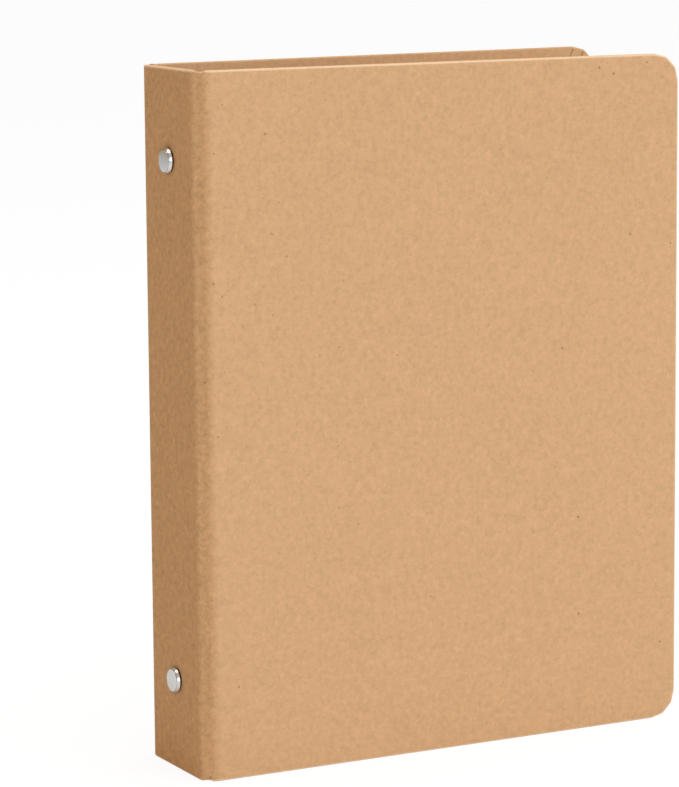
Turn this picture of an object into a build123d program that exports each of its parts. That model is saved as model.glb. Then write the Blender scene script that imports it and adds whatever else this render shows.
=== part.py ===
from build123d import *
import math
import os

# Half-letter ring album: a kraft-paper-covered board case with a three-ring steel
# mechanism riveted to the inside of its spine. Millimetres, +Z up.
# +X runs from the spine to the fore edge, -Y is the front cover, +Y is the back cover.
# The album stands on its tail edge; the origin is the bottom centre of its bounding box.

# ---------------------------------------------------------------- driving dimensions
H = 235.0             # height of the case, head to tail
PAPER = 0.3           # kraft paper, outer wrap and inner liner alike
BOARD = 2.0           # greyboard
SPINE_W = 35.4        # spine width between its two creases
STRIP = 5.37          # hinge strip between the spine crease and the cover crease
STRIP_DEG = 45.0      # slope of the hinge strip at rest
SPLAY_DEG = 2.0       # each cover stands open by this much at rest
COVER_L = 178.3       # cover crease to fore edge
CORNER_A = 9.4            # fore-edge corners are cut to facets: first cut, along the edge
CORNER_B = (4.7, 1.15)    # second cut, along the edge and in from it
TURN_IN = 15.0        # paper turned over to the inside
LINER_INSET = 6.0     # liner stays this far inside the head, tail and fore edges
CREASE_GAP = 0.3      # papers stop this far from a crease axis
BOARD_GAP = 0.5       # boards stop this far from a crease axis

# rivets
RIVET_Z = (30.4, 204.6)   # heights of the two rivets
CAP_R = 4.4
CAP_H = 1.8
CAP_CROWN = 0.35          # rise of the slightly crowned face above its rim
CAP_SHOULDER_R = 0.6
POST_R = 2.5
POST_BORE_R = 1.7
EYELET_R = 4.0
EYELET_T = 0.6
SPACER_R = 3.5

# ring mechanism; u is across the spine (along Y), v is the height above the spine liner
PLATE_Z = (17.5, 217.5)   # ends of the steel cover plate
PLATE_HALF = 11.0
PLATE_LOW = 1.1           # the plate stands clear of the liner by this much
PLATE_TOP = 6.5
PLATE_T = 0.8
LAND_HALF = 4.5           # flat land on top of the arch
SIDE_TOP = 3.0
LIP_HALF = 9.0
BLADE_U = 9.6             # pivot line of each blade
BLADE_V = 2.6
BLADE_T = 1.0
BLADE_INNER = 0.11
BLADE_DEG = 6.0           # blades dip this much towards the middle when the rings are shut
BLADE_END = 5.5           # blades start this far in from the plate's ends
RING_PITCH = 69.85        # 2 3/4 in hole pitch
RING_R = 14.0             # mean radius of a ring (25 mm clear inside)
WIRE_R = 1.5
RING_BEND_R = 3.0
RING_PHI = 35.0           # where the foot's bend joins the ring's circle, from its lowest point
RING_V0 = 3.2             # height where the straight foot starts to bend
PIN_S = 3.0               # lever pivot, in from the plate's end
PIN_V = 2.4
PIN_R = 0.7
TAB_TOP = 17.5
TAB_HALF = 5.8
TAB_T = 1.6

# ---------------------------------------------------------------- derived
A = math.radians(SPLAY_DEG)
B = math.radians(STRIP_DEG)
P1 = (PAPER, -SPINE_W / 2)                                         # front spine crease
P2 = (P1[0] + STRIP * math.cos(B), P1[1] - STRIP * math.sin(B))    # front cover crease
X_LOW = -CAP_H
X_HIGH = P2[0] + COVER_L * math.cos(A) + (BOARD + PAPER) * math.sin(A)
SHIFT = -(X_LOW + X_HIGH) / 2
LINER_X = PAPER + BOARD + PAPER       # inner face of the spine liner: v = 0
MID_Z = (PLATE_Z[0] + PLATE_Z[1]) / 2
RING_Z = (MID_Z - RING_PITCH, MID_Z, MID_Z + RING_PITCH)


def block(x0, x1, y0, y1, z0, z1):
    """A box from its two corners."""
    return Pos((x0 + x1) / 2, (y0 + y1) / 2, (z0 + z1) / 2) * Box(x1 - x0, y1 - y0, z1 - z0)


def rounded(x0, x1, y0, y1, z0, z1, r):
    """A slab whose two fore-edge corners, seen from its face, are rounded."""
    slab = block(x0, x1, y0, y1, z0, z1)
    return fillet(slab.edges().filter_by(Axis.Y).sort_by(Axis.X)[-2:], r)


def faceted(x0, x1, y0, y1, z0, z1, inset=0.0):
    """A slab whose two fore-edge corners are cut to facets; inset is how far its outline lies inside the cover's."""
    a = CORNER_A - 0.88 * inset
    b, c = CORNER_B[0] - 0.49 * inset, CORNER_B[1] - 0.095 * inset
    outline = Polyline(
        (x0, z0), (x1 - a, z0), (x1 - b, z0 + c), (x1 - c, z0 + b), (x1, z0 + a),
        (x1, z1 - a), (x1 - c, z1 - b), (x1 - b, z1 - c), (x1 - a, z1), (x0, z1),
        close=True,
    )
    flat = make_face(Plane.XZ * outline)
    return Pos(0, y1, 0) * extrude(flat, amount=y1 - y0, dir=(0, -1, 0))


def cyl_x(r, x0, x1, y, z):
    """A cylinder along X."""
    return Pos((x0 + x1) / 2, y, z) * Rot(0, 90, 0) * Cylinder(r, x1 - x0)


def cyl_y(r, x, y0, y1, z):
    return Pos(x, (y0 + y1) / 2, z) * Rot(90, 0, 0) * Cylinder(r, y1 - y0)


def cyl_z(r, x, y, z0, z1):
    return Pos(x, y, (z0 + z1) / 2) * Cylinder(r, z1 - z0)


# ---------------------------------------------------------------- a cover, laid along X
# s runs along X from the crease, the outer paper is below y = 0 and the board above it.
def cover_parts():
    wrap = faceted(CREASE_GAP, COVER_L, -PAPER, 0, 0, H)
    wrap += faceted(BOARD_GAP, COVER_L, 0, BOARD + PAPER, 0, H)
    board = faceted(BOARD_GAP, COVER_L - PAPER, 0, BOARD, PAPER, H - PAPER, PAPER)
    wrap -= board
    window = rounded(
        BOARD_GAP - 1, COVER_L - TURN_IN, BOARD, BOARD + PAPER + 1, TURN_IN, H - TURN_IN, 3.0
    )
    wrap -= window
    low = rounded(
        BOARD_GAP, COVER_L - TURN_IN, BOARD, BOARD + PAPER, TURN_IN, H - TURN_IN, 3.0
    )
    high = rounded(
        BOARD_GAP, COVER_L - LINER_INSET, BOARD + PAPER, BOARD + 2 * PAPER,
        LINER_INSET, H - LINER_INSET, 5.0,
    )
    high -= rounded(
        BOARD_GAP - 1, COVER_L - TURN_IN - PAPER, BOARD, BOARD + 3 * PAPER,
        TURN_IN + PAPER, H - TURN_IN - PAPER, 3.0 - PAPER,
    )
    return board, wrap, low + high


def strip_parts():
    """Outer paper and inner liner of a hinge strip, laid along X, crease to crease."""
    s0, s1 = CREASE_GAP, STRIP - CREASE_GAP
    wrap = block(s0, s1, -PAPER, 0, 0, H)
    wrap += block(s0, s1, 0, PAPER, 0, TURN_IN)
    wrap += block(s0, s1, 0, PAPER, H - TURN_IN, H)
    liner = block(s0, s1, 0, PAPER, TURN_IN, H - TURN_IN)
    liner += block(s0, s1, PAPER, 2 * PAPER, LINER_INSET, TURN_IN + PAPER)
    liner += block(s0, s1, PAPER, 2 * PAPER, H - TURN_IN - PAPER, H - LINER_INSET)
    return wrap, liner


def front(shape, pivot, degrees):
    return Pos(pivot[0], pivot[1], 0) * Rot(0, 0, -degrees) * shape


def back(shape):
    return mirror(shape, about=Plane.XZ)


parts = {}
board, wrap, liner = cover_parts()
parts["front_board"] = front(board, P2, SPLAY_DEG)
parts["front_cover_wrap"] = front(wrap, P2, SPLAY_DEG)
parts["front_liner"] = front(liner, P2, SPLAY_DEG)
strip_wrap, strip_liner = strip_parts()
parts["front_hinge_wrap"] = front(strip_wrap, P1, STRIP_DEG)
parts["front_hinge_liner"] = front(strip_liner, P1, STRIP_DEG)
for name in ("board", "cover_wrap", "liner", "hinge_wrap", "hinge_liner"):
    parts["back_" + name] = back(parts["front_" + name])

# ---------------------------------------------------------------- the spine
half_paper = SPINE_W / 2 - CREASE_GAP
half_board = SPINE_W / 2 - BOARD_GAP
spine_board = block(PAPER, PAPER + BOARD, -half_board, half_board, PAPER, H - PAPER)
spine_wrap = block(0, PAPER, -half_paper, half_paper, 0, H)
spine_wrap += block(PAPER, LINER_X, -half_board, half_board, 0, H)
spine_wrap -= spine_board
spine_wrap -= block(
    PAPER + BOARD, LINER_X + 1, -half_board - 1, half_board + 1, TURN_IN, H - TURN_IN
)
spine_liner = block(PAPER + BOARD, LINER_X, -half_board, half_board, TURN_IN, H - TURN_IN)
spine_liner += block(
    LINER_X, LINER_X + PAPER, -half_board, half_board, LINER_INSET, TURN_IN + PAPER
)
spine_liner += block(
    LINER_X, LINER_X + PAPER, -half_board, half_board, H - TURN_IN - PAPER, H - LINER_INSET
)
for z in RIVET_Z:
    hole = cyl_x(POST_R + 0.05, -1, LINER_X + 1, 0, z)
    spine_board -= hole
    spine_wrap -= hole
    spine_liner -= hole
parts["spine_board"] = spine_board
parts["spine_wrap"] = spine_wrap
parts["spine_liner"] = spine_liner

# ---------------------------------------------------------------- rivets
# Domed cap outside the spine, tubular post through spine and plate with a flared eyelet
# on the plate, and a spacer that holds the plate off the liner.
plate_under = LINER_X + PLATE_TOP - PLATE_T
plate_over = LINER_X + PLATE_TOP
for label, z in zip(("lower", "upper"), RIVET_Z):
    dome_r = (CAP_R**2 + CAP_CROWN**2) / (2 * CAP_CROWN)
    cap = cyl_x(CAP_R, -CAP_H, 0, 0, z) & (Pos(dome_r - CAP_H, 0, z) * Sphere(dome_r))
    rim = [
        e
        for e in cap.edges().filter_by(GeomType.CIRCLE)
        if abs(e.radius - CAP_R) < 1e-3 and e.center().X < -0.1
    ]
    cap = fillet(rim, CAP_SHOULDER_R)
    cap -= cyl_x(POST_R, -1.0, 1, 0, z)
    parts[f"{label}_rivet_cap"] = cap
    post = cyl_x(POST_R, -1.0, plate_over, 0, z)
    flange = cyl_x(EYELET_R, plate_over, plate_over + EYELET_T, 0, z)
    flange = fillet(flange.edges().filter_by(GeomType.CIRCLE).sort_by(Axis.X)[-1:], 0.45)
    post += flange
    post -= cyl_x(POST_BORE_R, 0.4, plate_over + 2, 0, z)
    mouth = [
        e
        for e in post.edges().filter_by(GeomType.CIRCLE)
        if abs(e.radius - POST_BORE_R) < 1e-3 and e.center().X > plate_over
    ]
    post = fillet(mouth, 0.5)
    parts[f"{label}_rivet_post"] = post
    spacer = cyl_x(SPACER_R, LINER_X, plate_under, 0, z)
    spacer -= cyl_x(POST_R + 0.05, LINER_X - 1, plate_under + 1, 0, z)
    parts[f"{label}_rivet_spacer"] = spacer

# ---------------------------------------------------------------- steel cover plate
def at(u, v):
    """Section point: u across the spine, v above the liner."""
    return (LINER_X + v, u)


rho = ((PLATE_HALF - LAND_HALF) ** 2 + (PLATE_TOP - SIDE_TOP) ** 2) / (
    2 * (PLATE_TOP - SIDE_TOP)
)


def arch(half, top, radius, low, land=LAND_HALF):
    """The region under the arch: flat land, round shoulders, straight sides."""
    cv = PLATE_TOP - rho
    ang_end = math.asin((half - land) / radius)
    v_end = cv + radius * math.cos(ang_end)
    mid = ang_end / 2
    right_mid = at(land + radius * math.sin(mid), cv + radius * math.cos(mid))
    left_mid = (right_mid[0], -right_mid[1])
    return make_face(
        [
            Line(at(-half, low), at(-half, v_end)),
            ThreePointArc(at(-half, v_end), left_mid, at(-land, top)),
            Line(at(-land, top), at(land, top)),
            ThreePointArc(at(land, top), right_mid, at(half, v_end)),
            Line(at(half, v_end), at(half, low)),
            Line(at(half, low), at(-half, low)),
        ]
    )


def prism(face, z0, z1):
    return Pos(0, 0, z0) * extrude(face, amount=z1 - z0, dir=(0, 0, 1))


plate = prism(arch(PLATE_HALF, PLATE_TOP, rho, PLATE_LOW), *PLATE_Z)
plate -= prism(
    arch(PLATE_HALF - PLATE_T, PLATE_TOP - PLATE_T, rho - PLATE_T, PLATE_LOW + PLATE_T),
    PLATE_Z[0] - 1,
    PLATE_Z[1] + 1,
)
plate -= block(
    LINER_X, LINER_X + PLATE_LOW + PLATE_T, -LIP_HALF, LIP_HALF, PLATE_Z[0] - 1, PLATE_Z[1] + 1
)
# rounded plan corners
plan = block(
    LINER_X, LINER_X + PLATE_TOP + 1, -PLATE_HALF, PLATE_HALF, PLATE_Z[0], PLATE_Z[1]
)
plan = fillet(plan.edges().filter_by(Axis.X), 3.0)
plate &= plan
for z in RIVET_Z:
    plate -= cyl_x(POST_R + 0.05, LINER_X, LINER_X + PLATE_TOP + 1, 0, z)
for z in RING_Z:  # slots in the shoulders for the ring feet
    for side in (-1, 1):
        y0, y1 = sorted((side * 5.0, side * 12.0))
        slot = block(LINER_X + 3.1, LINER_X + 9, y0, y1, z - 2.2, z + 2.2)
        plate -= slot
for end in (0, 1):  # slots for the levers, and the lips cut back beside them
    if end == 0:
        z0, z1 = PLATE_Z[0] - 1, PLATE_Z[0] + 5.2
        zp = PLATE_Z[0] + PIN_S
    else:
        z0, z1 = PLATE_Z[1] - 5.2, PLATE_Z[1] + 1
        zp = PLATE_Z[1] - PIN_S
    plate -= block(LINER_X + 3.4, LINER_X + 9, -TAB_HALF - 0.5, TAB_HALF + 0.5, z0, z1)
    plate -= block(LINER_X, LINER_X + 2.3, -PLATE_HALF + PLATE_T, PLATE_HALF - PLATE_T, z0, z1)
    plate -= cyl_y(PIN_R + 0.02, LINER_X + PIN_V, -PLATE_HALF - 1, PLATE_HALF + 1, zp)
parts["mechanism_plate"] = plate

# ---------------------------------------------------------------- blades and half rings
blade_z = (PLATE_Z[0] + BLADE_END, PLATE_Z[1] - BLADE_END)
blade_dx = LINER_X + BLADE_V


def tilt(shape, degrees):
    """Turns a shape about the back blade's pivot line."""
    return (
        Pos(blade_dx, BLADE_U, 0) * Rot(0, 0, degrees) * Pos(-blade_dx, -BLADE_U, 0) * shape
    )


phi = math.radians(RING_PHI)
foot_u = RING_R * math.sin(phi) - RING_BEND_R * (1 - math.sin(phi))
ring_vc = RING_V0 + (RING_R + RING_BEND_R) * math.cos(phi)
ring_top_x = LINER_X + ring_vc + RING_R


def ring_foot(z):
    return cyl_x(WIRE_R, LINER_X + 1.6, LINER_X + RING_V0, foot_u, z)


blade = block(
    blade_dx - BLADE_T / 2, blade_dx + BLADE_T / 2, BLADE_INNER, BLADE_U, *blade_z
)
blade += cyl_z(BLADE_T / 2, blade_dx, BLADE_U, *blade_z)
blade = tilt(blade, -BLADE_DEG)
for z in RING_Z:
    blade -= cyl_x(WIRE_R + 0.01, LINER_X, LINER_X + 5, foot_u, z)
for z in RIVET_Z:
    blade -= cyl_x(SPACER_R + 0.5, LINER_X - 1, LINER_X + 7, 0, z)


def half_ring(z, male):
    """The back half of one ring; the front half is its mirror image with the other tip."""
    start = (LINER_X + 1.55, foot_u)
    p0 = at(foot_u, RING_V0)
    theta = math.pi / 2 - phi
    mid = theta / 2
    p_mid = at(
        foot_u + RING_BEND_R * (1 - math.cos(mid)), RING_V0 + RING_BEND_R * math.sin(mid)
    )
    p1 = at(RING_R * math.sin(phi), ring_vc - RING_R * math.cos(phi))
    end_phi = math.pi - 0.05 / RING_R
    half_phi = (phi + end_phi) / 2
    p2 = at(RING_R * math.sin(half_phi), ring_vc - RING_R * math.cos(half_phi))
    p3 = at(RING_R * math.sin(end_phi), ring_vc - RING_R * math.cos(end_phi))
    path = Wire(
        [
            Edge.make_line(Vector(*start), Vector(*p0)),
            Edge.make_three_point_arc(Vector(*p0), Vector(*p_mid), Vector(*p1)),
            Edge.make_three_point_arc(Vector(*p1), Vector(*p2), Vector(*p3)),
        ]
    )
    section = Plane(origin=Vector(*start), z_dir=(1, 0, 0)) * Circle(WIRE_R)
    wire = sweep(section, path=path)
    # peened head under the blade, square to the blade
    head = tilt(
        cyl_x(WIRE_R + 0.2, blade_dx - BLADE_T / 2 - 0.4, blade_dx - BLADE_T / 2, foot_u, 0),
        -BLADE_DEG,
    )
    wire += head
    if male:
        nub = Pos(ring_top_x, 0.05 - 0.75, 0) * Rot(90, 0, 0) * Cone(0.95, 0.5, 1.5)
        wire += nub
    else:
        pit = Pos(ring_top_x, 0.0 + 0.85, 0) * Rot(-90, 0, 0) * Cone(1.1, 0.6, 1.7)
        wire -= pit
    return Pos(0, 0, z) * wire


parts["back_blade"] = blade
parts["front_blade"] = back(blade)
for label, z in zip(("lower", "middle", "upper"), RING_Z):
    parts[f"back_half_ring_{label}"] = half_ring(z, male=False)
    parts[f"front_half_ring_{label}"] = back(half_ring(z, male=True))

# ---------------------------------------------------------------- levers and their pins
def lever():
    """The lower lever: z = 0 is the plate's end, z rises into the plate."""
    px = LINER_X + PIN_V
    hub = cyl_y(1.7, px, -4.0, 4.0, PIN_S)
    finger = make_face(
        Polyline(
            (LINER_X + 0.25, PIN_S),
            (LINER_X + 0.25, 7.1),
            (LINER_X + 0.9, 7.1),
            (LINER_X + 0.9, 4.6),
            (LINER_X + 1.6, 4.2),
            (LINER_X + 1.6, PIN_S),
            close=True,
        )
    )
    finger = extrude(Plane.XZ * Pos(0, 0, 0) * finger, amount=1.5, both=True)
    tab = block(px, LINER_X + TAB_TOP, -TAB_HALF, TAB_HALF, PIN_S - TAB_T / 2, PIN_S + TAB_T / 2)
    tab = fillet(tab.edges().filter_by(Axis.Z).sort_by(Axis.X)[-2:], 4.5)
    # the shank between the side walls is narrower than the finger pad above the plate
    for side in (-1, 1):
        y0, y1 = sorted((side * 4.0, side * (TAB_HALF + 1)))
        tab -= block(px - 1, LINER_X + 7.2, y0, y1, 0, 2 * PIN_S)
    tab = fillet(
        tab.edges().filter_by(Axis.Y).sort_by(Axis.X)[-2:], 0.7
    )
    # a rolled lip at the top gives the finger something to push on
    lip = cyl_y(1.15, LINER_X + TAB_TOP - 1.0, -TAB_HALF + 3.2, TAB_HALF - 3.2, PIN_S - 0.5)
    lip = fillet(lip.edges().filter_by(GeomType.CIRCLE), 0.5)
    body = hub + finger + tab + lip
    body -= cyl_y(PIN_R + 0.03, px, -20, 20, PIN_S)
    return body


lower = lever()
parts["lower_lever"] = Pos(0, 0, PLATE_Z[0]) * lower
parts["upper_lever"] = Pos(0, 0, PLATE_Z[1]) * mirror(lower, about=Plane.XY)
for label, zp in (("lower", PLATE_Z[0] + PIN_S), ("upper", PLATE_Z[1] - PIN_S)):
    pin = cyl_y(PIN_R, LINER_X + PIN_V, -PLATE_HALF - 0.35, PLATE_HALF + 0.35, zp)
    pin = fillet(pin.edges().filter_by(GeomType.CIRCLE), 0.25)
    parts[f"{label}_lever_pin"] = pin

# ---------------------------------------------------------------- write
os.makedirs("parts", exist_ok=True)
for name, shape in parts.items():
    export_step(Pos(SHIFT, 0, 0) * shape, os.path.join("parts", name + ".step"))
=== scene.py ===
import math

import bpy
from mathutils import Matrix, Vector


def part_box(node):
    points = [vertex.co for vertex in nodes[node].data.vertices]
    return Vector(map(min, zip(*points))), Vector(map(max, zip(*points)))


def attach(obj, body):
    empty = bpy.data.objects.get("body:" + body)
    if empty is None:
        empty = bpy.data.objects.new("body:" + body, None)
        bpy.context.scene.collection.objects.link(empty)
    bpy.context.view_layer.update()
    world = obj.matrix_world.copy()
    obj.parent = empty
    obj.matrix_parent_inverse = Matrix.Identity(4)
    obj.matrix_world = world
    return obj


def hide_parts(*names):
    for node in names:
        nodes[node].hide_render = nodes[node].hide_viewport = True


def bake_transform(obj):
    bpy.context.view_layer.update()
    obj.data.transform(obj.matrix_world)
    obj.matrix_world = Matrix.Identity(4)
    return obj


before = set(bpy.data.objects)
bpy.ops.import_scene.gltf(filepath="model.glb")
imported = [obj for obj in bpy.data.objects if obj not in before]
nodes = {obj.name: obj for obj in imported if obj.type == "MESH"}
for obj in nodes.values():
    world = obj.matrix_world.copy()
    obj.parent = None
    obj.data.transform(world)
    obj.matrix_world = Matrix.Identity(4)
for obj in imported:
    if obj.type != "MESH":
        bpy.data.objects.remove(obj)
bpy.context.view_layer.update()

MM = 0.001

# ------------------------------------------------------------------ case frame
# Millimetres. x runs from the spine's outer face towards the fore edge, y across the
# spine (front cover at -y), z up. a and b are a panel's own axes: a away from its
# crease, b inwards from the inner side of the outer paper.
X0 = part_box("spine_wrap")[0].x
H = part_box("spine_wrap")[1].z / MM
PAPER = 0.3
SPINE_HALF = 17.7
STRIP = 5.37
STRIP_A = math.radians(45.0)
SPLAY_A = math.radians(2.0)
COVER_L = 178.3
P1 = (PAPER, -SPINE_HALF)
P2 = (P1[0] + STRIP * math.cos(STRIP_A), P1[1] - STRIP * math.sin(STRIP_A))
PANEL_A = 2.7  # panels' own pieces start this far from the crease axis
INNER = 2.3    # inner side of the turned-in paper
TURN_IN = 15.0
LINER_IN = 6.0


def at(x, y, z):
    return Vector((X0 + x * MM, y * MM, z * MM))


def spine_ab(a, b):
    return (b + PAPER, a - SPINE_HALF)


def cover_ab(a, b):
    c, s = math.cos(SPLAY_A), math.sin(SPLAY_A)
    return (P2[0] + a * c + b * s, P2[1] - a * s + b * c)


# ------------------------------------------------------------------ mesh helpers
def build(name, verts, faces, mirror=False, smooth=True, wear_and_highlight=None, fold=None, painted_shade=None, sharp=math.radians(40)):
    """A mesh from points in mm in the case frame. mirror makes the back half from the front one."""
    pts = [(x, -y, z) for x, y, z in verts] if mirror else verts
    fcs = [tuple(reversed(f)) for f in faces] if mirror else faces
    me = bpy.data.meshes.new(name)
    me.from_pydata([at(*p) for p in pts], [], fcs)
    me.validate()
    rest = me.attributes.new("paper_mm", "FLOAT_VECTOR", "POINT")
    flat = []
    for p in pts:
        flat.extend(p)
    rest.data.foreach_set("vector", flat)
    wear_and_painted_light = me.attributes.new("wear_and_highlight", "FLOAT", "POINT")
    wear_and_painted_light.data.foreach_set("value", wear_and_highlight if wear_and_highlight is not None else [0.0] * len(pts))
    spine_shade_paint = me.attributes.new("fold", "FLOAT", "POINT")
    spine_shade_paint.data.foreach_set("value", fold if fold is not None else [0.0] * len(pts))
    line = me.attributes.new("painted_shade", "FLOAT", "POINT")
    line.data.foreach_set("value", painted_shade if painted_shade is not None else [0.0] * len(pts))
    me.update()
    ob = bpy.data.objects.new(name, me)
    bpy.context.scene.collection.objects.link(ob)
    if smooth:
        me.polygons.foreach_set("use_smooth", [True] * len(me.polygons))
        me.set_sharp_from_angle(angle=sharp)
    return ob


def tube(rings, close_ends=True):
    """Quads between rings of equal length, each ring closed on itself."""
    n = len(rings[0])
    verts, faces = [], []
    for r in rings:
        verts.extend(r)
    for i in range(len(rings) - 1):
        for k in range(n):
            k2 = (k + 1) % n
            faces.append((i * n + k, (i + 1) * n + k, (i + 1) * n + k2, i * n + k2))
    if close_ends:
        faces.append(tuple(range(n)))
        faces.append(tuple(reversed(range((len(rings) - 1) * n, len(rings) * n))))
    return verts, faces


def smooth01(t):
    t = max(0.0, min(1.0, t))
    return t * t * (3 - 2 * t)


# ------------------------------------------------------------------ case sections
# A section is a closed loop of (share of thickness, z, wear and highlight) round one vertical cut; the third
# value pales rubbed edges and paints a highlight on the rounded folds.

def case_section(t):
    ro = min(0.8, 0.62 * t)
    ri = min(0.45, 0.32 * t)
    loop = []
    for i in range(25):
        z = ro + (H - 2 * ro) * i / 24
        loop.append((0.0, z, 0.35 if i in (0, 24) else 0.0))
    for k in range(1, 6):
        ang = math.radians(90 * k / 5)
        loop.append(((ro - ro * math.cos(ang)), H - ro + ro * math.sin(ang), 0.86))
    for k in range(0, 5):
        ang = math.radians(90 * k / 4)
        loop.append((t - ri + ri * math.sin(ang), H - ri + ri * math.cos(ang), 0.8 - 0.15 * k))
    loop.append((t, H - 3.0, 0.0))
    loop.append((t, H - TURN_IN, 0.0))
    loop.append((t - 0.25, H - TURN_IN - 0.1, 0.0))
    loop.append((t - 0.25, TURN_IN + 0.1, 0.0))
    loop.append((t, TURN_IN, 0.0))
    loop.append((t, 3.0, 0.0))
    for k in range(4, -1, -1):
        ang = math.radians(90 * k / 4)
        loop.append((t - ri + ri * math.sin(ang), ri - ri * math.cos(ang), 0.8 - 0.15 * k))
    for k in range(5, 0, -1):
        ang = math.radians(90 * k / 5)
        loop.append(((ro - ro * math.cos(ang)), ro - ro * math.sin(ang), 0.86))
    return [(q / t, z, w) for q, z, w in loop]


def loft_case(name, pairs, mirror=False, crease_rub_and_highlight=None, crease_fold=None, dips=None):
    """pairs are (outer, inner) points (x, y) of each vertical cut, in order along the sheet."""
    rings, wear_and_highlight, fold = [], [], []
    for i, (o, n) in enumerate(pairs):
        t = math.dist(o, n)
        ring = []
        for share, z, w in case_section(t):
            x = o[0] + (n[0] - o[0]) * share
            y = o[1] + (n[1] - o[1]) * share
            if dips:
                z = dips[i] + z * (H - 2 * dips[i]) / H
            ring.append((x, y, z))
            extra = crease_rub_and_highlight[i] if crease_rub_and_highlight and share == 0.0 else 0.0
            wear_and_highlight.append(max(w, extra))
            fold.append(crease_fold[i] if crease_fold else 1.0)
        rings.append(ring)
    verts, faces = tube(rings)
    return build(name, verts, faces, mirror=mirror, wear_and_highlight=wear_and_highlight, fold=fold)


def liner_section():
    """(height above the turned-in paper, z): raised over the turn-ins, lower between them."""
    top = [
        (0.0, LINER_IN), (0.2, LINER_IN), (0.3, LINER_IN + 0.12), (0.3, 10.0), (0.3, TURN_IN - 0.2),
        (0.24, TURN_IN + 0.25), (0.08, TURN_IN + 0.8), (0.0, TURN_IN + 1.3),
    ]
    mid = [(0.0, TURN_IN + 1.3 + (H - 2 * TURN_IN - 2.6) * i / 8) for i in range(1, 8)]
    high = [(h, H - z) for h, z in reversed(top)]
    under = [
        (0.0, H - TURN_IN), (-0.3, H - TURN_IN - 0.4), (-0.3, TURN_IN + 0.4), (0.0, TURN_IN),
    ]
    return top + mid + high + under


def loft_liner(name, line, mirror=False):
    """line holds the points (x, y) on the turned-in paper; the sheet lies on its inner side."""
    rings = []
    n = len(line)
    for i, p in enumerate(line):
        q0, q1 = line[max(0, i - 1)], line[min(n - 1, i + 1)]
        dx, dy = q1[0] - q0[0], q1[1] - q0[1]
        length = math.hypot(dx, dy)
        # the sheet runs from the spine to the cover; inwards is on its left
        nx, ny = -dy / length, dx / length
        rings.append([(p[0] + nx * h, p[1] + ny * h, z) for h, z in liner_section()])
    verts, faces = tube(rings)
    return build(name, verts, faces, mirror=mirror)


# ------------------------------------------------------------------ hinge paths
def hinge_paths(phi, bend_r):
    """Outer, inner and liner points in a panel's (a, b) axes, from the panel to mid-strip."""
    ds = (-math.cos(phi), math.sin(phi))
    no = (-math.sin(phi), -math.cos(phi))
    ka = -PAPER * math.tan(phi / 2)
    tl = bend_r * math.tan(phi / 2)
    ca, cb = ka + tl, -PAPER + bend_r

    def arc(f):
        th = phi * f
        return (ca - bend_r * math.sin(th), cb - bend_r * math.cos(th))

    def strip(s, off):
        return (ds[0] * s - no[0] * off, ds[1] * s - no[1] * off)

    half = STRIP / 2
    outer = [(PANEL_A, -PAPER), ((PANEL_A + ca) / 2, -PAPER), (ca + 0.12, -PAPER)]
    outer += [arc(f / 8) for f in range(0, 9)]
    e = outer[-1]
    m = strip(half, -PAPER)
    outer += [
        (e[0] + (m[0] - e[0]) * f, e[1] + (m[1] - e[1]) * f) for f in (0.33, 0.66, 1.0)
    ]
    inner = [
        (PANEL_A, INNER), (1.9, INNER), (1.2, INNER), (0.75, INNER), (0.50, 2.27), (0.34, 2.14),
        (0.27, 1.92), (0.25, 1.55), (0.22, 1.15), (0.15, 0.82), (0.0, 0.60),
    ]
    inner += [strip(s, PAPER) for s in (0.55, 1.15, 1.9, half)]
    liner = list(inner)
    return outer, inner, liner


def make_hinges(side, mirror):
    out1, in1, li1 = hinge_paths(STRIP_A, 3.0)
    out2, in2, li2 = hinge_paths(STRIP_A - SPLAY_A, 4.4)
    # cw1 and cw2 pale the crease lines: rubbed paper plus a painted highlight
    cw1 = [0, 0, 0, 0.05, 0.12, 0.2, 0.28, 0.33, 0.38, 0.42, 0.44, 0.44, 0.38, 0.3, 0.25]
    cw2 = [0, 0, 0, 0, 0, 0.05, 0.1, 0.14, 0.16, 0.18, 0.2, 0.2, 0.21, 0.23, 0.25]
    # f2 carries the spine side's painted shade over the cover crease into the cover's tone
    f2 = [0, 0, 0, 0.03, 0.08, 0.17, 0.3, 0.46, 0.64, 0.8, 0.92, 1, 1, 1, 1]

    a_case = loft_case(
        f"{side}_spine_crease_paper",
        [(spine_ab(*o), spine_ab(*n)) for o, n in zip(out1, in1)],
        mirror,
        cw1,
        dips=[0] * 10 + [0.05, 0.14, 0.26, 0.36, 0.40],
    )
    b_case = loft_case(
        f"{side}_cover_crease_paper",
        [(cover_ab(*o), cover_ab(*n)) for o, n in reversed(list(zip(out2, in2)))],
        mirror,
        cw2[::-1],
        f2[::-1],
        dips=([0] * 10 + [0.05, 0.14, 0.26, 0.36, 0.40])[::-1],
    )
    a_liner = loft_liner(f"{side}_spine_crease_liner", [spine_ab(*p) for p in li1], mirror)
    b_liner = loft_liner(
        f"{side}_cover_crease_liner", [cover_ab(*p) for p in reversed(li2)], mirror
    )
    for ob in (a_case, a_liner):
        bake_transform(ob)
    for ob in (b_case, b_liner):
        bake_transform(ob)
    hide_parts(f"{side}_hinge_wrap")
    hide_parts(f"{side}_hinge_liner")
    return [a_case, b_case], [a_liner, b_liner]


# ------------------------------------------------------------------ covers
CORNER = [(9.4, 0.0), (4.7, 1.15), (1.15, 4.7), (0.0, 9.4)]


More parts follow.
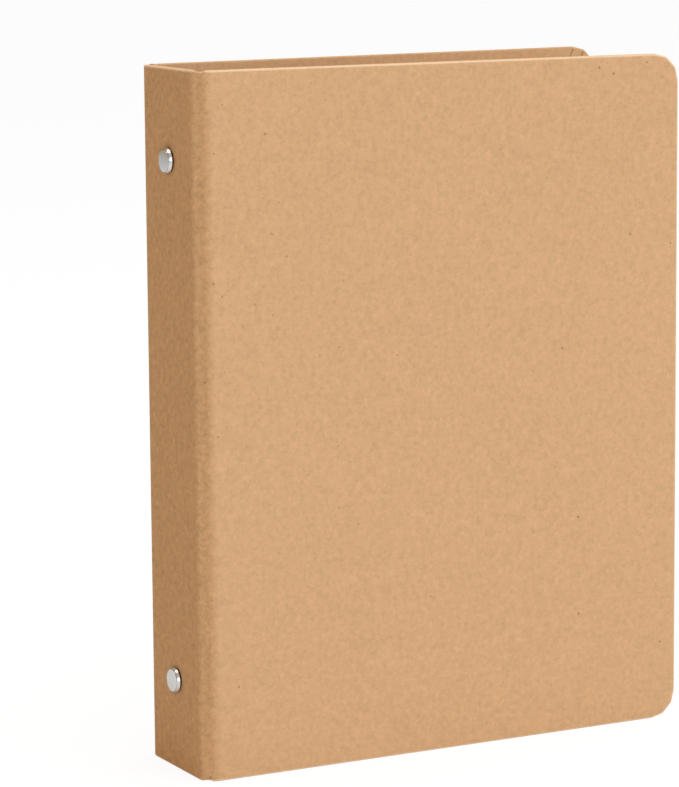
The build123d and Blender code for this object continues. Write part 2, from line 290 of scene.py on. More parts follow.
def corner_points(inset, trim):
    """The corner's facet vertices as (back from the fore edge, in from the head edge), five points each."""
    d = inset
    a = 9.4 + 0.372 * d
    b = (4.7 + 0.51 * d, 1.15 + 0.905 * d)
    v = [(a, d), b, (b[1], b[0]), (d, a)]
    before = (a + 6.0, d)
    after = (d, a + 6.0)
    chain = [before] + v + [after]
    pts = []
    for i in range(1, 5):
        p0, p, p1 = chain[i - 1], chain[i], chain[i + 1]

        def toward(q, length):
            dist = math.dist(p, q)
            f = min(length / dist, 0.45)
            return (p[0] + (q[0] - p[0]) * f, p[1] + (q[1] - p[1]) * f)

        if trim > 0:  # rounded outline
            s0, s1 = toward(p0, trim), toward(p1, trim)
            for f in (0.0, 0.25, 0.5, 0.75, 1.0):
                q = tuple(
                    (1 - f) ** 2 * s0[k] + 2 * f * (1 - f) * p[k] + f * f * s1[k] for k in (0, 1)
                )
                pts.append(q)
        else:  # a pleat's line
            pts += [toward(p0, 0.9), toward(p0, 0.28), p, toward(p1, 0.28), toward(p1, 0.9)]
    return pts


def cover_outline(inset, trim, n_side=10):
    """(s, z) round the tail, fore edge and head of a cover, from its crease side."""
    c = corner_points(inset, trim)
    tail = [(COVER_L - p[0], p[1]) for p in c]
    head = [(COVER_L - p[0], H - p[1]) for p in reversed(c)]
    pts = []
    for i in range(n_side):
        pts.append((PANEL_A + (tail[0][0] - PANEL_A) * i / n_side, inset))
    pts += tail
    z0, z1 = tail[-1][1], head[0][1]
    for i in range(1, n_side):
        pts.append((COVER_L - inset, z0 + (z1 - z0) * i / n_side))
    pts += head
    for i in range(1, n_side + 1):
        pts.append((head[-1][0] + (PANEL_A - head[-1][0]) * i / n_side, H - inset))
    return pts, n_side


def make_cover(side, mirror):
    ro, ri = 0.8, 0.45
    # prof: (inset, b, wear and highlight, trim); the rounded edges are rubbed paler and given a painted highlight
    prof = [(2.2, -PAPER, 0.0, 0.5), (ro, -PAPER, 0.15, 0.5)]
    for k in range(1, 6):
        ang = math.radians(90 * k / 5)
        prof.append((ro - ro * math.sin(ang), -PAPER + ro - ro * math.cos(ang), 0.8, 0.5))
    for k in range(0, 5):
        ang = math.radians(90 * k / 4)
        prof.append((ri - ri * math.cos(ang), INNER - ri + ri * math.sin(ang), 0.4 - 0.08 * k, 0.5))
    for d in (0.9, 1.5, 2.2, 3.2, 4.4, 5.6, 7.0, 8.6):
        prof.append((d, INNER, 0.0, 0.0))
    prof.append((9.0, INNER - 0.3, 0.0, 0.0))
    verts, faces, wear_and_highlight, painted_shade = [], [], [], []
    n = None
    for d, b, w, trim in prof:
        line, n_side = cover_outline(d, trim)
        n = len(line)
        first_tail, first_head = n_side, n_side + 20 + n_side - 1
        for k, (s, z) in enumerate(line):
            bb = b
            dark = 0.0
            # pleat lines: each groove is sunk a little and given painted shade along the gap where two pleats
            # meet
            if trim == 0.0 and 0.5 < d < 8.8:
                depth = smooth01((d - 0.5) / 1.2)
                for first, order in ((first_tail, 1), (first_head, -1)):
                    j = k - first
                    if 0 <= j < 20:
                        slot = j % 5
                        if slot == 2:
                            bb -= 0.45 * depth
                            dark = smooth01((d - 0.3) / 0.8)
                        elif slot in (1, 3):
                            raised = slot == (1 if order == 1 else 3)
                            bb += (0.18 if raised else -0.06) * depth
                        elif slot in (0, 4):
                            bb += 0.06 * depth
            x, y = cover_ab(s, bb)
            verts.append((x, y, z))
            wear_and_highlight.append(w)
            painted_shade.append(dark)
    m = len(prof)
    for j in range(m - 1):
        for k in range(n - 1):
            faces.append((j * n + k, (j + 1) * n + k, (j + 1) * n + k + 1, j * n + k + 1))
    faces.append(tuple(range(n)))                                     # outer face
    faces.append(tuple(reversed(range((m - 1) * n, m * n))))          # inner face
    end = [j * n for j in range(m)] + [j * n + n - 1 for j in reversed(range(m))]
    faces.append(tuple(reversed(end)))                                # crease side
    ob = build(f"{side}_cover_paper", verts, faces, mirror=mirror, wear_and_highlight=wear_and_highlight, painted_shade=painted_shade)
    fix_normals(ob)
    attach(ob, f"{side}_cover")
    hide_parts(f"{side}_cover_wrap")
    return ob


def fix_normals(ob):
    import bmesh

    bm = bmesh.new()
    bm.from_mesh(ob.data)
    bmesh.ops.recalc_face_normals(bm, faces=bm.faces)
    bm.to_mesh(ob.data)
    bm.free()
    ob.data.update()


def make_cover_liner(side, mirror):
    def outline(d, n_arc=8, n_side=8):
        r = max(5.0 - (d - LINER_IN), 0.7)
        hi, lo, top = COVER_L - d, d, H - d
        pts = [(PANEL_A + (hi - r - PANEL_A) * i / n_side, lo) for i in range(n_side)]
        for i in range(n_arc + 1):
            t = math.radians(90 * i / n_arc)
            pts.append((hi - r + r * math.sin(t), lo + r - r * math.cos(t)))
        for i in range(1, n_side):
            pts.append((hi, lo + r + (top - lo - 2 * r) * i / n_side))
        for i in range(n_arc + 1):
            t = math.radians(90 * i / n_arc)
            pts.append((hi - r + r * math.cos(t), top - r + r * math.sin(t)))
        for i in range(1, n_side + 1):
            pts.append((hi - r + (PANEL_A - hi + r) * i / n_side, top))
        return pts

    prof = [
        (TURN_IN + 0.4, INNER - 0.3), (TURN_IN, INNER), (LINER_IN, INNER), (LINER_IN, INNER + 0.2),
        (LINER_IN + 0.12, INNER + 0.3), (10.0, INNER + 0.3), (TURN_IN - 0.2, INNER + 0.3),
        (TURN_IN + 0.25, INNER + 0.24), (TURN_IN + 0.8, INNER + 0.08), (TURN_IN + 1.3, INNER),
    ]
    verts, faces = [], []
    for d, b in prof:
        line = outline(d)
        n = len(line)
        for s, z in line:
            x, y = cover_ab(s, b)
            verts.append((x, y, z))
    m = len(prof)
    for j in range(m - 1):
        for k in range(n - 1):
            faces.append((j * n + k, (j + 1) * n + k, (j + 1) * n + k + 1, j * n + k + 1))
    faces.append(tuple(range(n)))
    faces.append(tuple(reversed(range((m - 1) * n, m * n))))
    end = [j * n for j in range(m)] + [j * n + n - 1 for j in reversed(range(m))]
    faces.append(tuple(reversed(end)))
    ob = build(f"{side}_cover_liner", verts, faces, mirror=mirror)
    fix_normals(ob)
    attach(ob, f"{side}_cover")
    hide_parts(f"{side}_liner")
    return ob


# ------------------------------------------------------------------ spine
RIVET_Z = [
    (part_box(f"{n}_rivet_cap")[0].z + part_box(f"{n}_rivet_cap")[1].z) / 2 / MM
    for n in ("lower", "upper")
]


def spine_shape(x, y, z):
    """The outer paper dips a little round each rivet head."""
    dip = 0.0
    for rz in RIVET_Z:
        r = math.hypot(y, z - rz)
        dip += 0.22 * math.exp(-(((r - 4.0) / 1.9) ** 2)) if r > 4.0 else 0.22
    return x + dip, y


def make_spine():
    """The spine's outer sheet with its turn-ins, as a closed shell round the board."""
    ro, ri, t = 0.8, 0.45, INNER + PAPER
    ys = sorted(set(
        [-15.0 + 30.0 * i / 10 for i in range(11)] + [-7.5 + 15.0 * i / 20 for i in range(21)]
    ))
    zs = [ro]
    z = ro
    marks = []
    for rz in RIVET_Z:
        marks += [rz - 7.5 + 15.0 * i / 20 for i in range(21)]
    marks += [ro + (H - 2 * ro) * i / 24 for i in range(25)]
    zs = sorted(set(round(v, 3) for v in marks))
    zs = [v for i, v in enumerate(zs) if i == 0 or v - zs[i - 1] > 0.25]
    loop = [(0.0, v, 0.35 if i in (0, len(zs) - 1) else 0.0) for i, v in enumerate(zs)]
    tail = case_section(t)[25:]
    loop += tail
    rings, wear_and_highlight = [], []
    for y in ys:
        ring = []
        for share, z, w in loop:
            x, yy = t * share, y
            if share == 0.0:
                x, yy = spine_shape(x, y, z)
            ring.append((x, yy, z))
            wear_and_highlight.append(w)
        rings.append(ring)
    verts, faces = tube(rings)
    ob = build("spine_paper", verts, faces, wear_and_highlight=wear_and_highlight, fold=[1.0] * len(verts))
    fix_normals(ob)
    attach(ob, "spine")
    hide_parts("spine_wrap")
    liner = loft_liner(
        "spine_liner_sheet", [(INNER + PAPER, 15.0 - 30.0 * i / 6) for i in range(7)]
    )
    fix_normals(liner)
    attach(liner, "spine")
    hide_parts("spine_liner")
    return ob, liner


# ------------------------------------------------------------------ rivet heads
def lathe_x(name, profile, y, z, seg=72, dark=()):
    """A body turned about an axis along x through (y, z); profile is (x, r) from pole to pole."""
    verts, faces = [], []
    first = profile[0]
    last = profile[-1]
    verts.append((first[0], y, z))
    rings = profile[1:-1]
    for x, r in rings:
        for k in range(seg):
            t = 2 * math.pi * k / seg
            verts.append((x, y + r * math.cos(t), z + r * math.sin(t)))
    verts.append((last[0], y, z))
    n = len(rings)
    for k in range(seg):
        k2 = (k + 1) % seg
        faces.append((0, 1 + k2, 1 + k))
        for j in range(n - 1):
            b = 1 + j * seg
            faces.append((b + k, b + k2, b + seg + k2, b + seg + k))
        b = 1 + (n - 1) * seg
        faces.append((b + k, b + k2, len(verts) - 1))
    shade = [0.0]
    for j in range(n):
        shade += [1.0 if j + 1 in dark else 0.0] * seg
    shade.append(0.0)
    ob = build(name, verts, faces, sharp=math.radians(60), painted_shade=shade)
    fix_normals(ob)
    return ob


def make_caps():
    made = []
    for label, z in zip(("lower", "upper"), RIVET_Z):
        lo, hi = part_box(f"{label}_rivet_cap")
        h = (hi.x - lo.x) / MM
        r = (hi.z - lo.z) / 2 / MM
        rf, x0 = r - 0.65, -h + 0.26
        prof = [(-h, 0.0)]
        for i in range(1, 11):
            q = i / 10
            prof.append((-h + 0.26 * q ** 2.6, rf * q))
        # a fine groove parts the dome from its flared rim; the rim curls under at the paper. The groove and the
        # curl get painted shade.
        prof += [
            (x0 + 0.15, rf + 0.04), (x0 + 0.17, rf + 0.09), (x0 + 0.07, rf + 0.13), (x0 + 0.08, rf + 0.19),
            (x0 + 0.16, rf + 0.26), (x0 + 0.40, rf + 0.37), (x0 + 0.70, rf + 0.50), (x0 + 0.98, rf + 0.60),
            (x0 + 1.12, r), (x0 + 1.24, r - 0.03), (x0 + 1.36, r - 0.14), (x0 + 1.44, r - 0.34),
            (0.25, r - 0.38), (0.25, 0.0),
        ]
        ob = lathe_x(f"{label}_rivet_head", prof, 0.0, z, dark=(11, 12, 13, 20, 21, 22, 23))
        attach(ob, "spine")
        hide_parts(f"{label}_rivet_cap")
        made.append(ob)
    return made


# ------------------------------------------------------------------ materials
def mat(name):
    m = bpy.data.materials.new(name)
    m.use_nodes = True
    nt = m.node_tree
    nt.nodes.clear()
    out = nt.nodes.new("ShaderNodeOutputMaterial")
    bsdf = nt.nodes.new("ShaderNodeBsdfPrincipled")
    nt.links.new(bsdf.outputs[0], out.inputs[0])
    return m, nt, bsdf


def math_node(nt, op, a, b=None, c=None, clamp=False):
    n = nt.nodes.new("ShaderNodeMath")
    n.operation = op
    n.use_clamp = clamp
    for i, v in enumerate((a, b, c)):
        if v is None:
            continue
        if isinstance(v, (int, float)):
            n.inputs[i].default_value = v
        else:
            nt.links.new(v, n.inputs[i])
    return n.outputs[0]


def ramp(nt, fac, lo, hi, out_lo=0.0, out_hi=1.0, smooth=True):
    n = nt.nodes.new("ShaderNodeMapRange")
    n.interpolation_type = "SMOOTHSTEP" if smooth else "LINEAR"
    nt.links.new(fac, n.inputs[0])
    for i, v in zip((1, 2, 3, 4), (lo, hi, out_lo, out_hi)):
        n.inputs[i].default_value = v
    return n.outputs[0]


def noise(nt, vec, scale, detail=2.0, rough=0.5, distort=0.0):
    n = nt.nodes.new("ShaderNodeTexNoise")
    nt.links.new(vec, n.inputs["Vector"])
    n.inputs["Scale"].default_value = scale
    n.inputs["Detail"].default_value = detail
    n.inputs["Roughness"].default_value = rough
    n.inputs["Distortion"].default_value = distort
    return n.outputs["Fac"]


def mix_rgb(nt, fac, a, b, blend="MIX"):
    n = nt.nodes.new("ShaderNodeMix")
    n.data_type = "RGBA"
    n.blend_type = blend
    if isinstance(fac, (int, float)):
        n.inputs[0].default_value = fac
    else:
        nt.links.new(fac, n.inputs[0])
    for i, v in ((6, a), (7, b)):
        if isinstance(v, tuple):
            n.inputs[i].default_value = (*v, 1.0)
        else:
            nt.links.new(v, n.inputs[i])
    return n.outputs[2]


def lin(r, g, b):
    def f(c):
        c /= 255.0
        return c / 12.92 if c <= 0.04045 else ((c + 0.055) / 1.055) ** 2.4

    return (f(r), f(g), f(b))


def kraft(name, base, seed, grain=1.0, spine_shade_paint=None):
    """Unbleached kraft paper: cloudy tone, fine fibres, sparse dark specks, folds rubbed paler with a painted
    highlight, painted shade on the spine side and in pleat gaps.
    """
    m, nt, bsdf = mat(name)
    attr = nt.nodes.new("ShaderNodeAttribute")
    attr.attribute_type = "GEOMETRY"
    attr.attribute_name = "paper_mm"
    shift = nt.nodes.new("ShaderNodeVectorMath")
    shift.operation = "ADD"
    nt.links.new(attr.outputs["Vector"], shift.inputs[0])
    shift.inputs[1].default_value = (seed * 13.7, seed * 7.1, seed * 3.3)
    vec = shift.outputs[0]
    wear_and_highlight = nt.nodes.new("ShaderNodeAttribute")
    wear_and_highlight.attribute_type = "GEOMETRY"
    wear_and_highlight.attribute_name = "wear_and_highlight"

    cloud = noise(nt, vec, 0.022, 2.0, 0.5)
    mottle = noise(nt, vec, 0.16, 3.0, 0.55)
    blot = noise(nt, vec, 0.48, 2.0, 0.5, 0.4)
    fine = noise(nt, vec, 1.0, 4.0, 0.65)
    grit = noise(nt, vec, 3.2, 3.0, 0.7)

    # streaks: the sheet's formation, drawn out along its height
    squeeze = nt.nodes.new("ShaderNodeMapping")
    nt.links.new(vec, squeeze.inputs["Vector"])
    squeeze.inputs["Scale"].default_value = (1.0, 1.0, 0.22)
    streak = noise(nt, squeeze.outputs[0], 0.75, 3.0, 0.6)
    squeeze2 = nt.nodes.new("ShaderNodeMapping")
    nt.links.new(vec, squeeze2.inputs["Vector"])
    squeeze2.inputs["Scale"].default_value = (0.25, 0.25, 1.0)
    streak2 = noise(nt, squeeze2.outputs[0], 0.9, 2.0, 0.6)

    # hair-like fibres along the level lines of a noise field, kept in short lengths
    def fibres(scale, width, mask_scale, mask_lo, offset):
        off = nt.nodes.new("ShaderNodeVectorMath")
        off.operation = "ADD"
        nt.links.new(vec, off.inputs[0])
        off.inputs[1].default_value = offset
        n = noise(nt, off.outputs[0], scale, 1.0, 0.4, 0.6)
        d = math_node(nt, "ABSOLUTE", math_node(nt, "SUBTRACT", n, 0.5))
        line = ramp(nt, d, 0.0, width, 1.0, 0.0)
        keep = ramp(nt, noise(nt, off.outputs[0], mask_scale, 0.0), mask_lo, mask_lo + 0.05)
        return math_node(nt, "MULTIPLY", line, keep)

    dark_f = fibres(0.50, 0.022, 0.55, 0.58, (31.0, 5.0, 11.0))
    pale_f = fibres(0.62, 0.026, 0.6, 0.54, (3.0, 47.0, 23.0))

    # specks
    def specks(scale, size, share):
        v = nt.nodes.new("ShaderNodeTexVoronoi")
        v.feature = "F1"
        nt.links.new(vec, v.inputs["Vector"])
        v.inputs["Scale"].default_value = scale
        sep = nt.nodes.new("ShaderNodeSeparateColor")
        nt.links.new(v.outputs["Color"], sep.inputs[0])
        keep = ramp(nt, sep.outputs[0], 1 - share - 0.01, 1 - share, smooth=False)
        rad = math_node(nt, "MULTIPLY_ADD", sep.outputs[1], size * 0.9, size * 0.45)
        wob = math_node(nt, "MULTIPLY_ADD", fine, size * 0.9, -size * 0.45)
        dist = math_node(nt, "ADD", v.outputs["Distance"], wob)
        spot = math_node(
            nt, "SUBTRACT", 1.0, math_node(nt, "DIVIDE", dist, rad), clamp=True
        )
        spot = ramp(nt, spot, 0.0, 0.45)
        return math_node(nt, "MULTIPLY", spot, keep)

    speck_a = specks(0.15, 0.062, 0.75)
    speck_b = specks(0.36, 0.085, 0.50)

    # tone: all the slow and quick variations in one factor about 1
    tone = math_node(nt, "MULTIPLY_ADD", math_node(nt, "SUBTRACT", cloud, 0.5), 0.05 * grain, 1.0)
    for field, amount in (
        (mottle, 0.08), (blot, 0.30), (fine, 0.28), (grit, 0.12), (streak, 0.07), (streak2, 0.05),
    ):
        tone = math_node(
            nt, "MULTIPLY_ADD", math_node(nt, "SUBTRACT", field, 0.5), amount * grain, tone
        )
    if spine_shade_paint:
        # the folded sheet shows its grain more
        far = nt.nodes.new("ShaderNodeAttribute")
        far.attribute_type = "GEOMETRY"
        far.attribute_name = "fold"
        gain = math_node(nt, "MULTIPLY_ADD", far.outputs["Fac"], 0.6, 1.0)
        tone = math_node(nt, "MULTIPLY_ADD", math_node(nt, "SUBTRACT", tone, 1.0), gain, 1.0)
    warm = math_node(nt, "MULTIPLY_ADD", math_node(nt, "SUBTRACT", mottle, 0.5), 0.5, 0.5, clamp=True)
    tint = mix_rgb(nt, warm, (0.998, 1.002, 1.004), (1.003, 0.998, 0.996))
    # painted shade: the spine side takes a darker, warmer copy of the base colour, standing in for its dimmer
    # light
    if spine_shade_paint:
        body = mix_rgb(nt, far.outputs["Fac"], base, spine_shade_paint)
    else:
        body = base
    colour = mix_rgb(nt, 1.0, tint, body, "MULTIPLY")
    scaled = nt.nodes.new("ShaderNodeVectorMath")
    scaled.operation = "SCALE"
    nt.links.new(colour, scaled.inputs[0])
    nt.links.new(tone, scaled.inputs["Scale"])
    colour = scaled.outputs[0]
    colour = mix_rgb(nt, math_node(nt, "MULTIPLY", pale_f, 0.26), colour, tuple(min(c * 1.35, 1) for c in base))
    colour = mix_rgb(nt, math_node(nt, "MULTIPLY", dark_f, 0.18), colour, tuple(c * 0.45 for c in base))
    colour = mix_rgb(nt, math_node(nt, "MULTIPLY", speck_b, 0.42), colour, tuple(c * 0.42 for c in base))
    colour = mix_rgb(nt, math_node(nt, "MULTIPLY", speck_a, 0.5), colour, (0.12, 0.05, 0.02))
    # folds rubbed paler, unevenly, and painted paler still as a highlight where the rounded folds catch the light
    rub_and_highlight = ramp(nt, math_node(nt, "ADD", wear_and_highlight.outputs["Fac"], math_node(nt, "MULTIPLY_ADD", fine, 0.9, -0.45)), 0.25, 1.1)
    pale = tuple(min(c * k, 1.0) for c, k in zip(base, (1.22, 1.38, 1.62)))
    colour = mix_rgb(nt, math_node(nt, "MULTIPLY", rub_and_highlight, 0.75), colour, pale)
    # the very edges, rubbed nearly bare and given a painted highlight
    edge = math_node(nt, "MULTIPLY_ADD", fine, 1.1, 0.2, clamp=True)
    edge = math_node(nt, "MULTIPLY", edge, ramp(nt, wear_and_highlight.outputs["Fac"], 0.5, 0.9))
    bare_and_highlit = tuple(min(c * k, 0.9) for c, k in zip(base, (1.30, 1.52, 1.85)))
    colour = mix_rgb(nt, edge, colour, bare_and_highlit)
    # the shadowed gap where two pleats meet
    gap = nt.nodes.new("ShaderNodeAttribute")
    gap.attribute_type = "GEOMETRY"
    gap.attribute_name = "painted_shade"
    deepest = ramp(nt, gap.outputs["Fac"], 0.1, 0.8)
    colour = mix_rgb(nt, math_node(nt, "MULTIPLY", deepest, 0.92), colour, tuple(c * 0.2 for c in base))
    nt.links.new(colour, bsdf.inputs["Base Color"])

    rough = ramp(nt, fine, 0.3, 0.7, 0.82, 0.94)
    nt.links.new(rough, bsdf.inputs["Roughness"])
    bsdf.inputs["Specular IOR Level"].default_value = 0.12
    
    height = math_node(nt, "MULTIPLY_ADD", grit, 0.6, math_node(nt, "MULTIPLY", fine, 1.0))
    height = math_node(nt, "MULTIPLY_ADD", streak, 0.5, height)
    height = math_node(nt, "MULTIPLY_ADD", pale_f, 0.5, height)
    bump = nt.nodes.new("ShaderNodeBump")
    bump.inputs["Strength"].default_value = 0.35
    bump.inputs["Distance"].default_value = 0.00006
    nt.links.new(height, bump.inputs["Height"])
    nt.links.new(bump.outputs[0], bsdf.inputs["Normal"])
    return m


def metal(name, base, rough, brushed=0.0, grime=0.0, wear_and_painted_light=False):
    """Nickel-plated steel: uneven polish, faint scratches."""
    m, nt, bsdf = mat(name)
    tc = nt.nodes.new("ShaderNodeTexCoord")
    vec = tc.outputs["Object"]
    haze = noise(nt, vec, 260.0, 3.0, 0.55)
    fine = noise(nt, vec, 2400.0, 2.0, 0.6)
    sq = nt.nodes.new("ShaderNodeMapping")
    nt.links.new(vec, sq.inputs["Vector"])
    sq.inputs["Scale"].default_value = (1.0, 1.0, 0.05)
    scratch = noise(nt, sq.outputs[0], 3800.0, 2.0, 0.5)
    tone = math_node(nt, "MULTIPLY_ADD", math_node(nt, "SUBTRACT", haze, 0.5), 0.10 + grime, 1.0)
    tone = math_node(nt, "MULTIPLY_ADD", math_node(nt, "SUBTRACT", scratch, 0.5), 0.05 + brushed * 0.2, tone)
    col = nt.nodes.new("ShaderNodeVectorMath")
    col.operation = "SCALE"
    col.inputs[0].default_value = base
    nt.links.new(tone, col.inputs["Scale"])
    nt.links.new(col.outputs[0], bsdf.inputs["Base Color"])
    # painted shade: the marked rings, in the cap's groove and under its curled rim, are painted near black
    if wear_and_painted_light:
        gap = nt.nodes.new("ShaderNodeAttribute")
        gap.attribute_type = "GEOMETRY"
        gap.attribute_name = "painted_shade"
        painted_groove_shade = mix_rgb(nt, gap.outputs["Fac"], col.outputs[0], (0.045, 0.030, 0.022))
        nt.links.new(painted_groove_shade, bsdf.inputs["Base Color"])
    bsdf.inputs["Metallic"].default_value = 1.0
    r = math_node(nt, "MULTIPLY_ADD", math_node(nt, "SUBTRACT", haze, 0.5), 0.14, rough)
    r = math_node(nt, "MULTIPLY_ADD", math_node(nt, "SUBTRACT", scratch, 0.5), 0.10 + brushed * 0.3, r)
    nt.links.new(r, bsdf.inputs["Roughness"])
    height = math_node(nt, "MULTIPLY_ADD", scratch, 0.4 + brushed, math_node(nt, "MULTIPLY", fine, 0.3))
    bump = nt.nodes.new("ShaderNodeBump")
    bump.inputs["Strength"].default_value = 0.12
    bump.inputs["Distance"].default_value = 0.00003
    nt.links.new(height, bump.inputs["Height"])
    nt.links.new(bump.outputs[0], bsdf.inputs["Normal"])
    return m


def greyboard():
    m, nt, bsdf = mat("greyboard")
    tc = nt.nodes.new("ShaderNodeTexCoord")
    fine = noise(nt, tc.outputs["Object"], 900.0, 4.0, 0.7)
    mott = noise(nt, tc.outputs["Object"], 180.0, 3.0, 0.6)
    col = mix_rgb(nt, fine, lin(128, 118, 104), lin(168, 158, 142))
    col = mix_rgb(nt, math_node(nt, "MULTIPLY", mott, 0.4), col, lin(140, 134, 128))
    nt.links.new(col, bsdf.inputs["Base Color"])
    bsdf.inputs["Roughness"].default_value = 0.95
    bump = nt.nodes.new("ShaderNodeBump")
    bump.inputs["Strength"].default_value = 0.5
    bump.inputs["Distance"].default_value = 0.0001
    nt.links.new(fine, bump.inputs["Height"])
    nt.links.new(bump.outputs[0], bsdf.inputs["Normal"])
    return m


BASE = lin(214, 169, 125)
# a darker, warmer copy of the base colour for the spine side: painted shade
SPINE_SHADED_BASE = tuple(c * k for c, k in zip(BASE, (0.98, 0.95, 0.89)))
M_OUT = kraft("kraft_outer", BASE, 0.0, spine_shade_paint=SPINE_SHADED_BASE)
M_IN = kraft("kraft_inner", tuple(c * k for c, k in zip(BASE, (0.97, 0.95, 0.93))), 3.0, 1.1)
M_CAP = metal("nickel_cap", (0.80, 0.785, 0.775), 0.15, wear_and_painted_light=True)
M_PLATE = metal("nickel_plate", (0.76, 0.755, 0.74), 0.22)
M_RING = metal("nickel_ring", (0.78, 0.775, 0.765), 0.16)
M_LEVER = metal("nickel_lever", (0.76, 0.755, 0.74), 0.22)
M_BLADE = metal("steel_blade", (0.58, 0.58, 0.58), 0.36, brushed=0.5)
M_BOARD = greyboard()


def dress(ob, m):
    ob.data.materials.clear()
    ob.data.materials.append(m)


def dress_node(name, m):
    ob = nodes[name]
    for s in ob.material_slots:
        s.material = m
    if not ob.material_slots:
        ob.data.materials.append(m)


# ------------------------------------------------------------------ assemble
for side, mirror in (("front", False), ("back", True)):
    dress(make_cover(side, mirror), M_OUT)
    dress(make_cover_liner(side, mirror), M_IN)
    cases, liners = make_hinges(side, mirror)
    for ob in cases:
        fix_normals(ob)
        dress(ob, M_OUT)
    for ob in liners:
        fix_normals(ob)
        dress(ob, M_IN)
spine, spine_liner = make_spine()
dress(spine, M_OUT)
dress(spine_liner, M_IN)
for ob in make_caps():
    dress(ob, M_CAP)

for n in nodes:
    if n.endswith("board"):
        dress_node(n, M_BOARD)
    elif n == "mechanism_plate":
        dress_node(n, M_PLATE)
    elif "half_ring" in n:
        dress_node(n, M_RING)
    elif "blade" in n:
        dress_node(n, M_BLADE)
    elif n.endswith("_lever"):
        dress_node(n, M_LEVER)
    elif "rivet" in n or "pin" in n:
        dress_node(n, M_CAP)
    else:
        dress_node(n, M_OUT)

# ------------------------------------------------------------------ stage
GLOW = 0.85
WORLD_L = (0.43, 0.34, 0.23)
WORLD_R = (0.60, 0.70, 0.79)
TOP_W = 10.0
KEY_W = 23.5
SOFTBOX = 1.45
me = bpy.data.meshes.new("floor")
S = 12.0
me.from_pydata([(-S, -S, 0), (S, -S, 0), (S, S, 0), (-S, S, 0)], [], [(0, 1, 2, 3)])
floor = bpy.data.objects.new("floor", me)
bpy.context.scene.collection.objects.link(floor)
m, nt, bsdf = mat("floor_white")
tc = nt.nodes.new("ShaderNodeTexCoord")
fl = noise(nt, tc.outputs["Object"], 3.0, 2.0, 0.5)
nt.links.new(mix_rgb(nt, fl, (0.84, 0.84, 0.84), (0.86, 0.86, 0.86)), bsdf.inputs["Base Color"])
bsdf.inputs["Roughness"].default_value = 0.9
bsdf.inputs["Specular IOR Level"].default_value = 0.1
# a backlit white table: the camera sees it mostly by its own glow
glow = nt.nodes.new("ShaderNodeEmission")
glow.inputs[0].default_value = (1.0, 1.0, 1.0, 1.0)
glow.inputs[1].default_value = 1.06
lp = nt.nodes.new("ShaderNodeLightPath")
mixer = nt.nodes.new("ShaderNodeMixShader")
nt.links.new(math_node(nt, "MULTIPLY", lp.outputs["Is Camera Ray"], GLOW), mixer.inputs[0])
nt.links.new(bsdf.outputs[0], mixer.inputs[1])
nt.links.new(glow.outputs[0], mixer.inputs[2])
nt.links.new(mixer.outputs[0], nt.nodes["Material Output"].inputs[0])
me.materials.append(m)

# studio: pale cool towards the front right, dimmer and warmer towards the spine's side
world = bpy.data.worlds.new("studio")
bpy.context.scene.world = world
world.use_nodes = True
nt = world.node_tree
nt.nodes.clear()
tc = nt.nodes.new("ShaderNodeTexCoord")
side = nt.nodes.new("ShaderNodeVectorMath")
side.operation = "DOT_PRODUCT"
nt.links.new(tc.outputs["Generated"], side.inputs[0])
side.inputs[1].default_value = (0.94, -0.34, 0.0)
turn = ramp(nt, side.outputs["Value"], -0.55, 0.55)
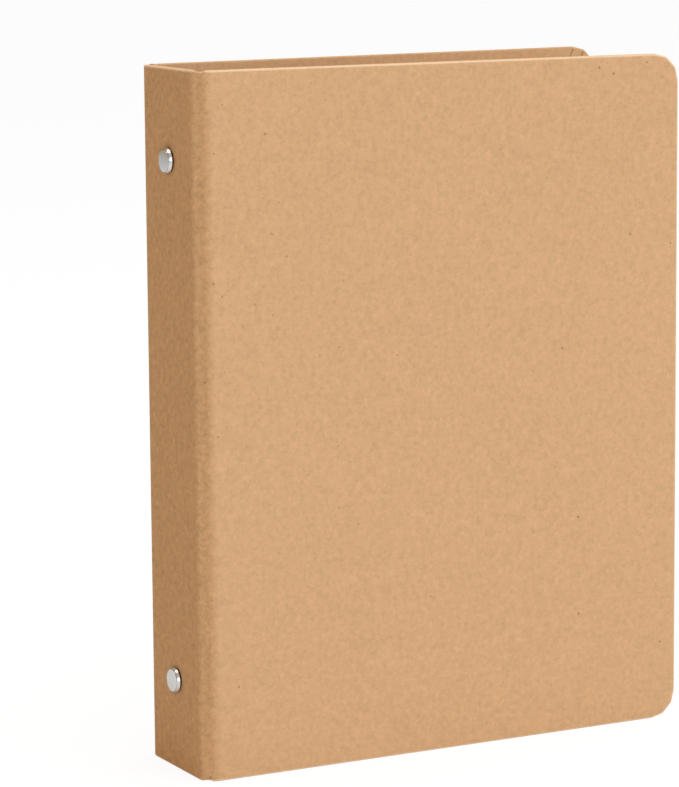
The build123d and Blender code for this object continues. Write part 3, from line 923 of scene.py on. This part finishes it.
# a broad softbox behind the camera
box = nt.nodes.new("ShaderNodeVectorMath")
box.operation = "DOT_PRODUCT"
nt.links.new(tc.outputs["Generated"], box.inputs[0])
box.inputs[1].default_value = (-0.15, -0.983, 0.10)
soft = ramp(nt, box.outputs["Value"], 0.84, 0.93)
room = nt.nodes.new("ShaderNodeBackground")
walls = mix_rgb(nt, turn, WORLD_L, WORLD_R)
nt.links.new(mix_rgb(nt, soft, walls, (SOFTBOX, SOFTBOX, SOFTBOX)), room.inputs[0])
room.inputs[1].default_value = 1.0
white = nt.nodes.new("ShaderNodeBackground")
white.inputs[0].default_value = (1.0, 1.0, 1.0, 1.0)
lp = nt.nodes.new("ShaderNodeLightPath")
mixer = nt.nodes.new("ShaderNodeMixShader")
nt.links.new(lp.outputs["Is Camera Ray"], mixer.inputs[0])
nt.links.new(room.outputs[0], mixer.inputs[1])
nt.links.new(white.outputs[0], mixer.inputs[2])
out = nt.nodes.new("ShaderNodeOutputWorld")
nt.links.new(mixer.outputs[0], out.inputs[0])


def area(name, loc, target, size, power, colour=(1, 1, 1)):
    data = bpy.data.lights.new(name, "AREA")
    data.shape = "RECTANGLE"
    data.size, data.size_y = size
    data.energy = power
    data.color = colour
    ob = bpy.data.objects.new(name, data)
    bpy.context.scene.collection.objects.link(ob)
    ob.location = loc
    ob.rotation_euler = (Vector(target) - Vector(loc)).to_track_quat("-Z", "Y").to_euler()
    return ob


area("top", (0.05, 0.05, 1.7), (0.0, 0.0, 0.0), (1.0, 1.0), TOP_W)
area("key", (1.5, -2.2, 1.3), (0, 0, 0.12), (1.6, 1.6), KEY_W, (0.94, 0.98, 1.0))

# ------------------------------------------------------------------ camera
F_PX, CX, CY = 3267.9, 400.0, 320.0
YAW, PITCH, ROLL = math.radians(29.439), math.radians(8.026), math.radians(-0.318)
CAM = (-457.9, -965.3, 301.8)
d = Vector((math.sin(YAW) * math.cos(PITCH), math.cos(YAW) * math.cos(PITCH), -math.sin(PITCH)))
r = Vector((math.cos(YAW), -math.sin(YAW), 0.0))
u = r.cross(d)
r2 = r * math.cos(ROLL) + u * math.sin(ROLL)
u2 = u * math.cos(ROLL) - r * math.sin(ROLL)
cam_data = bpy.data.cameras.new("camera")
cam = bpy.data.objects.new("camera", cam_data)
bpy.context.scene.collection.objects.link(cam)
cam.matrix_world = Matrix.Translation(at(*CAM)) @ Matrix(
    ((r2.x, u2.x, -d.x), (r2.y, u2.y, -d.y), (r2.z, u2.z, -d.z))
).to_4x4()
cam_data.sensor_width = 36.0
cam_data.lens = 36.0 * F_PX / 787.0
cam_data.shift_x = (339.5 - CX) / 787.0
cam_data.shift_y = (CY - 393.5) / 787.0
cam_data.clip_start, cam_data.clip_end = 0.05, 60.0
bpy.context.scene.camera = cam
bpy.context.scene.view_settings.view_transform = "Standard"
bpy.context.scene.view_settings.look = "None"
